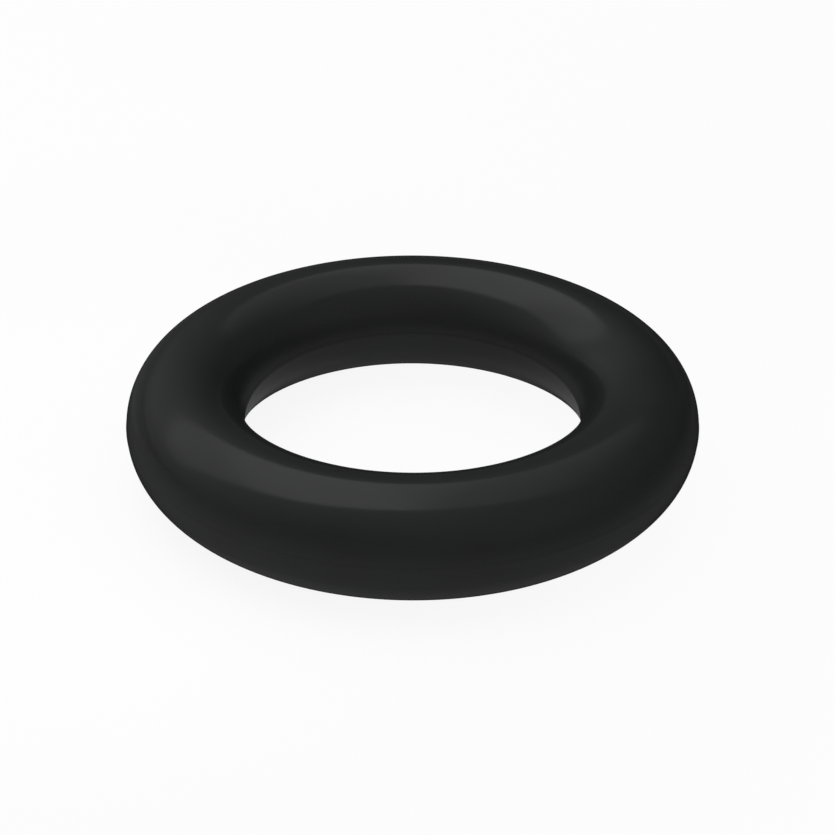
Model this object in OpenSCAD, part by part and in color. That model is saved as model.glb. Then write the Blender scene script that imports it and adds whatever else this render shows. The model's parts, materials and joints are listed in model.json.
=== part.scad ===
// Moulded rubber O-ring, standard size 312.
// One solid: a round section turned about the Z axis, with the trimmed parting line that the
// mould's two halves leave on the inside and on the outside. The origin is the ring's centre,
// on the plane where the halves met. The ring lies flat. Lengths are in millimetres.

/* [Ring] */
// Inside diameter, measured clear of the parting line
inside_d = 15.24; // [9:0.01:60]
// Diameter of the round section
section_d = 5.33; // [1.8:0.01:8]

/* [Parting line] */
// Height of the trimmed flash above the round section
witness_h = 0.015; // [0.01:0.005:0.07]
// Width of the flat crest that trimming leaves, along the ring's axis
witness_crest_w = 0.12; // [0.06:0.01:0.2]
// Width that each sloping flank adds beside the crest
witness_flank_w = 0.09; // [0.02:0.01:0.1]

/* [Hidden] */
// Straight pieces in a full turn of the preview mesh
turn_pieces = 180;
section_r = section_d / 2;
// Radius of the circle that the middle of the section follows
centre_r = inside_d / 2 + section_r;
crest_x = section_r + witness_h;
crest_half = witness_crest_w / 2;
// Where a flank meets the round, measured from the middle of the section
foot_half = crest_half + witness_flank_w;
foot_x = sqrt(pow(section_r, 2) - pow(foot_half, 2));
// A flank runs on past its foot by this share of its length, so that it ends inside the round
flank_overrun = 0.5;
root_x = foot_x - flank_overrun * (crest_x - foot_x);
root_half = foot_half + flank_overrun * witness_flank_w;

// The round section, about its own middle
module round_section() {
    circle(r = section_r, $fn = turn_pieces);
}

// The trimmed flash on both sides of the section: a flat crest with a sloping flank on each
// side of it, which reaches the round at foot_x and foot_half
module witness_section() {
    polygon([
        [crest_x, -crest_half],
        [crest_x, crest_half],
        [root_x, root_half],
        [-root_x, root_half],
        [-crest_x, crest_half],
        [-crest_x, -crest_half],
        [-root_x, -root_half],
        [root_x, -root_half]
    ]);
}

// The whole ring, moulded in one piece and trimmed
module o_ring() {
    color([0.13, 0.13, 0.135])
        rotate_extrude($fn = turn_pieces)
            translate([centre_r, 0])
                union() {
                    round_section();
                    witness_section();
                }
}

o_ring();
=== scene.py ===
# A moulded rubber O-ring that lies flat on a white board, under one large softbox.
# Lengths are in metres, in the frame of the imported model.
import json
import math

import bpy
from mathutils import Matrix, Vector


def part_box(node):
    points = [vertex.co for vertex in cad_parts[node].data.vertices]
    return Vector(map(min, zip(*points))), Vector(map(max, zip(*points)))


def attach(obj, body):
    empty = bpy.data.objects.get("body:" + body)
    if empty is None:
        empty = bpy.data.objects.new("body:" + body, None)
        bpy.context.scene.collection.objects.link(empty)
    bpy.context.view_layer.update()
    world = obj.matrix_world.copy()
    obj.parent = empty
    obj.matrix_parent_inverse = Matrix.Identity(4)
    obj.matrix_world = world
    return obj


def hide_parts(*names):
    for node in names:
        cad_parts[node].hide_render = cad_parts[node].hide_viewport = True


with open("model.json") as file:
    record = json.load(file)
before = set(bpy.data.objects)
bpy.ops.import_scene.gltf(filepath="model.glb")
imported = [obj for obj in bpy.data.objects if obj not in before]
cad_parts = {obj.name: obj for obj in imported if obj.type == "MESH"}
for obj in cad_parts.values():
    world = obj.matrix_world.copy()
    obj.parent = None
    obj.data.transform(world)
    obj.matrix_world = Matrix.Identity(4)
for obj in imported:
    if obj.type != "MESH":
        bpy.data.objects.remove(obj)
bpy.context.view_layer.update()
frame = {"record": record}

# The ring
# One piece of black nitrile rubber, pressed between the two halves of a heated mould.
# A round section turned about Z. Where the halves met, inside and outside, the thin flash was
# trimmed off and leaves a low flat-topped line that is never quite even.
MM = 0.001
seats = {
    mount["name"]: mount["dims"]["r_mm"] * MM
    for mount in frame["record"]["mounts"]
    if "r_mm" in mount["dims"]
}
ring_low, ring_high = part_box("o_ring")
section_radius = (ring_high.z - ring_low.z) / 2
centre_radius = (seats["outer_seat"] + seats["inner_seat"]) / 2
line_height = 0.015 * MM
line_crest_width = 0.12 * MM
line_flank_width = 0.09 * MM
# Share of its height that the line loses where the trimming cut deepest
line_loss = 0.45
# Lumps of that unevenness along one radian of the ring, and how often finer lumps lie on them
line_lumps = 7.0
line_detail = 3.0
line_seed = 3.0
# How closely the mesh's points crowd together at the line, from 0 to just under 1
crowding = 0.9
# The mesh's ends meet on the ring, and are welded where they lie nearer than this
weld_distance = 0.001 * MM


class Term:
    """A node's output socket that takes part in sums, so that a rule reads as it is written."""

    def __init__(self, graph, socket):
        self.graph = graph
        self.socket = socket

    def __getitem__(self, output):
        return Term(self.graph, self.graph.find(self.socket.node.outputs, output))

    def __add__(self, other):
        return self.graph.math("ADD", self, other)

    def __sub__(self, other):
        return self.graph.math("SUBTRACT", self, other)

    def __mul__(self, other):
        return self.graph.math("MULTIPLY", self, other)

    def __truediv__(self, other):
        return self.graph.math("DIVIDE", self, other)

    def __radd__(self, other):
        return self.graph.math("ADD", other, self)

    def __rsub__(self, other):
        return self.graph.math("SUBTRACT", other, self)

    def __rmul__(self, other):
        return self.graph.math("MULTIPLY", other, self)

    def __rtruediv__(self, other):
        return self.graph.math("DIVIDE", other, self)


class Graph:
    """A node tree, of a shader or of a shape, that is built by calls."""

    def __init__(self, tree):
        self.tree = tree

    @staticmethod
    def find(sockets, key):
        if isinstance(key, int):
            return sockets[key]
        return next(s for s in sockets if s.enabled and key in (s.name, s.identifier))

    def node(self, kind, settings=None, sockets=None):
        made = self.tree.nodes.new(kind)
        for name, value in (settings or {}).items():
            setattr(made, name, value)
        for key, value in (sockets or {}).items():
            socket = self.find(made.inputs, key)
            if isinstance(value, Term):
                self.tree.links.new(value.socket, socket)
            else:
                socket.default_value = value
        return Term(self, made.outputs[0]) if made.outputs else None

    def math(self, operation, *terms):
        return self.node("ShaderNodeMath", {"operation": operation}, dict(enumerate(terms)))

    def vector(self, x, y, z):
        return self.node("ShaderNodeCombineXYZ", None, {"X": x, "Y": y, "Z": z})

    def split(self, vector):
        return self.node("ShaderNodeSeparateXYZ", None, {"Vector": vector})

    def distance(self, place, other):
        settings = {"operation": "DISTANCE"}
        return self.node("ShaderNodeVectorMath", settings, {0: place, 1: other})["Value"]

    def step(self, value, start, end):
        """0 up to start and 1 from end on, with a smooth rise. It falls if end is below start."""
        settings = {"interpolation_type": "SMOOTHSTEP"}
        return self.node(
            "ShaderNodeMapRange", settings, {"Value": value, "From Min": start, "From Max": end}
        )


ring_shape = bpy.data.node_groups.new("moulded_ring", "GeometryNodeTree")
ring_sizes = {
    "Centre radius": centre_radius,
    "Section radius": section_radius,
    "Line height": line_height,
    "Line crest width": line_crest_width,
    "Line flank width": line_flank_width,
    "Line loss": line_loss,
    "Line lumps": line_lumps,
    "Line seed": line_seed,
}
ring_steps = {"Steps round the ring": 400, "Steps round the section": 176}
for name in ring_sizes:
    ring_shape.interface.new_socket(name, in_out="INPUT", socket_type="NodeSocketFloat")
for name in ring_steps:
    ring_shape.interface.new_socket(name, in_out="INPUT", socket_type="NodeSocketInt")
ring_shape.interface.new_socket("Rubber", in_out="INPUT", socket_type="NodeSocketMaterial")
ring_shape.interface.new_socket("Ring", in_out="OUTPUT", socket_type="NodeSocketGeometry")

g = Graph(ring_shape)
given = g.node("NodeGroupInput")
turns = given["Steps round the ring"]
stations = given["Steps round the section"]
sheet = g.node(
    "GeometryNodeMeshGrid",
    None,
    {"Size X": math.tau, "Size Y": math.tau, "Vertices X": turns + 1, "Vertices Y": stations + 1},
)
# The flat sheet's own X is the angle round the ring, and its Y the angle round the section. The
# second is warped so that the points crowd together at the line, inside and outside.
flat = g.split(g.node("GeometryNodeInputPosition"))
turn = flat["X"]
even = flat["Y"]
angle = even - crowding / 2 * g.math("SINE", 2 * even)
outward = g.math("COSINE", angle) * given["Section radius"]
height = g.math("SINE", angle) * given["Section radius"]
side = g.math("SIGN", outward)
# How far a point has climbed the flank of the line: 0 at its foot, 1 on its crest
foot = given["Line crest width"] / 2 + given["Line flank width"]
climb = g.math("MAXIMUM", (foot - g.math("ABSOLUTE", height)) / given["Line flank width"], 0.0)
climb = g.math("MINIMUM", climb, 1.0)
round_ring = g.node(
    "ShaderNodeVectorMath",
    {"operation": "SCALE"},
    {0: g.vector(g.math("COSINE", turn), g.math("SINE", turn), side), "Scale": given["Line lumps"]},
)
uneven = g.node(
    "ShaderNodeTexNoise",
    {"noise_dimensions": "4D"},
    {"Vector": round_ring, "W": given["Line seed"], "Scale": 1.0, "Detail": line_detail},
)
crest = given["Section radius"] + given["Line height"] * (1 - given["Line loss"] * uneven)
outward = outward + climb * (side * crest - outward)
reach = given["Centre radius"] + outward
bent_places = g.vector(reach * g.math("COSINE", turn), reach * g.math("SINE", turn), height)
bent = g.node("GeometryNodeSetPosition", None, {"Geometry": sheet, "Position": bent_places})
closed = g.node("GeometryNodeMergeByDistance", None, {"Geometry": bent, "Distance": weld_distance})
smooth = g.node("GeometryNodeSetShadeSmooth", None, {0: closed})
real = g.node("GeometryNodeRealizeInstances", None, {0: smooth})
finished = g.node("GeometryNodeSetMaterial", None, {"Geometry": real, "Material": given["Rubber"]})
g.node("NodeGroupOutput", None, {"Ring": finished})

# The rubber is filled with carbon black, so that it is nearly black, with a satin sheen from the
# mould's fine-blasted wall. Its shine varies a little in broad clouds, where the press left more
# or less of the release agent.
rubber = bpy.data.materials.new("satin_black_rubber")
rubber.use_nodes = True
rubber.node_tree.nodes.clear()
rubber_black = (0.0111, 0.0114, 0.0114, 1.0)
rubber_cloud = (0.0119, 0.0126, 0.0128, 1.0)
cloud_size = 4.0 * MM
cloud_noise = {"Detail": 2.0, "Roughness": 0.5}
# Levels of the cloud noise, between which the black turns into the cloud's colour
cloud_edges = (0.35, 0.65)
cloud_middle = 0.5
grain_size = 0.11 * MM
grain_height = 0.0016 * MM
grain_noise = {"Detail": 2.0, "Roughness": 0.6}
rubber_roughness = 0.13
roughness_spread = 0.04
# Tumbling takes off the last of the flash and leaves the ring duller round its waist: how much
# duller, and how far from the line this ends
waist_dullness = 0.27
waist_edge = (0.90 * MM, 1.60 * MM)
# The wall inside the hole, below the line, keeps more of its shine. It lies within these
# distances from the ring's middle and below these heights.
inside_reach = (8.4 * MM, 9.3 * MM)
inside_below = (0.06 * MM, -0.20 * MM)
# Shares of the waist's dullness, and of the loss at a flat glance, that it is spared
inside_shine = 0.60
inside_glance = 0.19
rubber_gloss = 0.138
# A wider, hazier sheen that lies over the satin one
haze_weight = 0.18
haze_roughness = 0.55
# How early the sheen gives way towards a flat glance, where the skin's finest pits shade one
# another
glance_blend = 0.645

g = Graph(rubber.node_tree)
place = g.node("ShaderNodeTexCoord")["Object"]
cloud = g.node(
    "ShaderNodeTexNoise", None, {"Vector": place, "Scale": 1 / cloud_size, **cloud_noise}
)
cloudy = g.step(cloud, *cloud_edges)
colour = g.node(
    "ShaderNodeMix",
    {"data_type": "RGBA"},
    {"Factor_Float": cloudy, "A_Color": rubber_black, "B_Color": rubber_cloud},
)
grain = g.node(
    "ShaderNodeTexNoise", None, {"Vector": place, "Scale": 1 / grain_size, **grain_noise}
)
relief = g.node(
    "ShaderNodeBump", None, {"Strength": 1.0, "Distance": grain_height, "Height": grain}
)
height = g.split(place)["Z"]
waist = g.step(g.math("ABSOLUTE", height), waist_edge[1], waist_edge[0])
from_middle = g.distance(place, (0.0, 0.0, 0.0))
within = g.step(from_middle, inside_reach[1], inside_reach[0]) * g.step(height, *inside_below)
inside = waist * within
waist = waist * (1 - inside_shine * inside)
roughness = rubber_roughness + roughness_spread * (cloud - cloud_middle) + waist_dullness * waist
skin = {"Base Color": colour["Result_Color"], "Roughness": roughness, "Normal": relief}
satin = g.node(
    "ShaderNodeBsdfPrincipled",
    None,
    {
        **skin,
        "Specular IOR Level": rubber_gloss,
        "Coat Weight": haze_weight,
        "Coat Roughness": haze_roughness,
    },
)
dull = g.node("ShaderNodeBsdfPrincipled", None, {**skin, "Specular IOR Level": 0.0})
glance = g.node("ShaderNodeLayerWeight", None, {"Blend": glance_blend})["Facing"]
glance = glance * (1 - inside_glance * inside)
rubber_skin = g.node("ShaderNodeMixShader", None, {0: glance, 1: satin, 2: dull})
g.node("ShaderNodeOutputMaterial", None, {"Surface": rubber_skin})

blank = bpy.data.objects.new("ring_blank", bpy.data.meshes.new("ring_blank"))
bpy.context.collection.objects.link(blank)
shaper = blank.modifiers.new("moulded_ring", "NODES")
shaper.node_group = ring_shape
values = {**ring_sizes, **ring_steps, "Rubber": rubber}
for item in ring_shape.interface.items_tree:
    if item.in_out == "INPUT":
        shaper[item.identifier] = values[item.name]
bpy.context.view_layer.update()
evaluated = blank.evaluated_get(bpy.context.evaluated_depsgraph_get())
ring = bpy.data.objects.new("moulded_o_ring", bpy.data.meshes.new_from_object(evaluated))
bpy.context.collection.objects.link(ring)
bpy.data.objects.remove(blank)
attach(ring, "root")
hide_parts("o_ring")

# The table
# A sheet of white board under the ring. It curves up far behind and all round, so that it fills
# the view from every side without an edge.
table_height = ring_low.z
flat_radius = 0.40
flat_rings = 8
sweep_radius = 0.30
sweep_angle = math.radians(38)
sweep_rings = 16
table_turns = 96

outline = []
for row in range(1, flat_rings + 1):
    outline.append((flat_radius * row / flat_rings, table_height))
for row in range(1, sweep_rings + 1):
    bend = sweep_angle * row / sweep_rings
    radius = flat_radius + sweep_radius * math.sin(bend)
    outline.append((radius, table_height + sweep_radius * (1 - math.cos(bend))))
corners = [(0.0, 0.0, table_height)]
for radius, rise in outline:
    for index in range(table_turns):
        angle = math.tau * index / table_turns
        corners.append((radius * math.cos(angle), radius * math.sin(angle), rise))
faces = [(0, 1 + index, 1 + (index + 1) % table_turns) for index in range(table_turns)]
for row in range(len(outline) - 1):
    inner = 1 + row * table_turns
    outer = inner + table_turns
    for index in range(table_turns):
        after = (index + 1) % table_turns
        faces.append((inner + index, outer + index, outer + after, inner + after))
board_mesh = bpy.data.meshes.new("white_board")
board_mesh.from_pydata(corners, [], faces)
for face in board_mesh.polygons:
    face.use_smooth = True
board = bpy.data.objects.new("white_board", board_mesh)
bpy.context.collection.objects.link(board)
white = bpy.data.materials.new("white_board")
white.use_nodes = True
white.node_tree.nodes.clear()
plain_white = (1.0, 1.0, 1.0, 1.0)
paper_near = (0.845, 0.845, 0.845, 1.0)
paper_far = 0.34
# Painted light: the softbox's pool of light on the board is painted into its colour, brightest
# round this place, to the left of the ring, and falling to grey, painted shade, between these
# distances from it
painted_light_place = (-18 * MM, -4 * MM, table_height)
paper_fade = (11 * MM, 43 * MM)
# Painted light and shade: behind the ring the far board is painted lighter to the left and darker
# to the right, by this much
painted_tilt = 0.30
# Shares of straight back, counted from the ring's middle, between which that comes in
tilt_behind = (0.15, 0.80)
# Share of the board's face that counts as plain white: in the picture, near the lit place and
# far off
picture_white_near = 0.90
picture_white_far = 0.97
# A painted glow seen only in reflections: a white share of the board's face, which fades out
# between these distances from a place of its own
mirrored_white = 0.88
mirrored_place = (-1 * MM, -3.5 * MM, table_height)
mirrored_fade = (12 * MM, 32 * MM)

g = Graph(white.node_tree)
place = g.node("ShaderNodeTexCoord")["Object"]
bearing = g.split(g.node("ShaderNodeVectorMath", {"operation": "NORMALIZE"}, {0: place}))
ray = g.node("ShaderNodeLightPath")
mirrored = g.math("MAXIMUM", ray["Is Glossy Ray"], ray["Is Transmission Ray"])
# Painted light: a mask of the softbox's pool of light on the board
fade = g.step(g.distance(place, painted_light_place), *paper_fade)
# Painted reflection: the board glows white round its own place for glossy and transmission rays
painted_glow_spot = mirrored_white * g.step(g.distance(place, mirrored_place), *reversed(mirrored_fade))
picture_white = picture_white_near + (picture_white_far - picture_white_near) * fade
white_share = picture_white * ray["Is Camera Ray"] + painted_glow_spot * mirrored
# Painted shade: the far board's grey, lighter behind on the left and darker behind on the right
painted_far_shade = paper_far - painted_tilt * bearing["X"] * g.step(bearing["Y"], *tilt_behind)
painted_far_paper = g.vector(painted_far_shade, painted_far_shade, painted_far_shade)
# Painted light and shade: the board's colour is lighter round the lit place and greyer far off
painted_light_paper = g.node(
    "ShaderNodeMix",
    {"data_type": "RGBA"},
    {"Factor_Float": fade, "A_Color": paper_near, "B_Color": painted_far_paper},
)
paper = g.node("ShaderNodeBsdfDiffuse", None, {"Color": painted_light_paper["Result_Color"]})
glow = g.node("ShaderNodeEmission", None, {"Color": plain_white, "Strength": 1.0})
board_face = g.node("ShaderNodeMixShader", None, {0: white_share, 1: paper, 2: glow})
g.node("ShaderNodeOutputMaterial", None, {"Surface": board_face})
board.data.materials.append(white)

# The studio
# One large softbox hangs over the ring, a little behind it and to its left, in a dim room. Its
# edges are crisp near its lamp and blur to the left, and to the right its cloth hangs dimmer.
# Places on it are given for a ceiling one unit above the ring: X to the right and Y to the back.

# A way that rises less than this is taken to rise this much, so that it meets the ceiling too
lowest_rise = 0.05
# Where the softbox ends in front: straight on the left, and further back towards the right
box_front = -0.17
box_front_rise = 0.20
# A slanting cut takes off its front left corner
box_slant = 0.42
box_slant_start = 0.375
box_back = 1.24
box_right = 0.03
box_left = (-3.80, -0.70)
box_blur = 0.04
box_blur_growth = 0.22
box_back_blur = 0.10
box_right_blur = 0.24
box_strength = 1.40
# Share of its light that the box loses towards the left, and a little sooner towards the back
box_loss = 0.42
box_loss_lean = 0.43
box_loss_reach = (0.57, 1.00)
# The dimmer cloth to the right of the lamp, which fades out
spill_strength = 0.82
spill_right = (0.10, 1.25)
# The light that the box throws on the wall behind it and to its left, in an oval that starts a
# little above the floor
wall_centre = (-2.00, 1.70)
wall_reach = (2.30, 4.0)
wall_foot = (0.05, 0.25)
wall_strength = 0.42
# The room: its plain light, and how that changes to the left, from corner to corner and overhead
room_strength = 0.35
room_left = 0.17
room_corner = 0.45
room_ceiling = 0.20
# The wall on the right catches some of the lamp
room_right_strength = 0.18
room_right = (0.45, 0.85)
# The wall straight behind is darker
room_back_dim = 0.20
room_back = (0.75, 0.98)
# The foot of the walls, lit by the table, more so on the left
skirting_strength = 0.12
skirting_left = 1.00
skirting_top = 0.40

world = bpy.data.worlds.new("studio")
bpy.context.scene.world = world
world.use_nodes = True
world.node_tree.nodes.clear()
g = Graph(world.node_tree)
# The way from the ring into the room, of length one, and where it meets the ceiling
way = g.split(g.node("ShaderNodeTexCoord")["Object"])
above = g.math("MAXIMUM", way["Z"], lowest_rise)
across = way["X"] / above
back = way["Y"] / above
blur_growth = box_blur_growth * g.math("MAXIMUM", 0 - across, 0.0)


def box_edge(inside, blur):
    """1 inside an edge of the softbox and 0 outside it, with a blur of the given width."""
    return g.step(inside / blur, -0.5, 0.5)


inside_front = back - box_front - box_front_rise * g.math("MAXIMUM", across, 0.0)
front = box_edge(inside_front, box_blur + blur_growth)
slant = box_edge(back + box_slant * across + box_slant_start, box_blur + blur_growth)
rear = box_edge(box_back - back, box_back_blur + blur_growth)
right = box_edge(box_right - across, box_right_blur)
lamp = box_strength * right + spill_strength * g.step(across, *reversed(spill_right))
lamp = lamp * (1 - box_loss * g.step(box_loss_lean * back - across, *box_loss_reach))
box_light = lamp * front * slant * rear * g.step(across, *box_left)

sideways = (across - wall_centre[0]) / wall_reach[0]
lengthways = (back - wall_centre[1]) / wall_reach[1]
from_centre = g.math("SQRT", sideways * sideways + lengthways * lengthways)
wall_light = wall_strength * (g.step(from_centre, 1.0, 0.0) * g.step(way["Z"], *wall_foot))

room_light = (
    room_strength
    - room_left * way["X"]
    - room_corner * (way["X"] * way["Y"])
    + room_ceiling * g.math("MAXIMUM", way["Z"], 0.0)
    + room_right_strength * g.step(way["X"], *room_right)
    - room_back_dim * g.step(way["Y"], *room_back)
    + skirting_strength * g.step(way["Z"], skirting_top, 0.0) * (1 - skirting_left * way["X"])
)
studio_light = g.node(
    "ShaderNodeBackground",
    None,
    {"Color": plain_white, "Strength": room_light + wall_light + box_light},
)
g.node("ShaderNodeOutputWorld", None, {"Surface": studio_light})

# The camera
# It looks down at the ring from the front, at the photograph's angle and distance. The ring lies
# a little left of and above the middle of the picture, so the camera aims just beside it.
picture_width = 835
camera_elevation = math.radians(29.88)
camera_distance = 105.9 * MM
camera_roll = math.radians(0.226)
focal_length_px = 2328.6
ring_middle_px = (412.72, 413.43)
sensor_width = 36.0
nearest_seen = 10 * MM
camera_data = bpy.data.cameras.new("camera")
camera_data.sensor_width = sensor_width
camera_data.lens = sensor_width * focal_length_px / picture_width
camera_data.clip_start = nearest_seen
camera = bpy.data.objects.new("camera", camera_data)
bpy.context.collection.objects.link(camera)
bpy.context.scene.camera = camera
stand = Vector((0.0, -math.cos(camera_elevation), math.sin(camera_elevation))) * camera_distance
metres_per_px = camera_distance / focal_length_px
aim_right = (picture_width / 2 - ring_middle_px[0]) * metres_per_px
aim_down = (picture_width / 2 - ring_middle_px[1]) * metres_per_px
upright = Vector((0.0, math.sin(camera_elevation), math.cos(camera_elevation)))
aim = Vector((aim_right, 0.0, 0.0)) - upright * aim_down
turned = (aim - stand).to_track_quat("-Z", "Y").to_matrix().to_4x4()
camera.matrix_world = Matrix.Translation(stand) @ turned @ Matrix.Rotation(camera_roll, 4, "Z")

bpy.context.scene.view_settings.view_transform = "Standard"
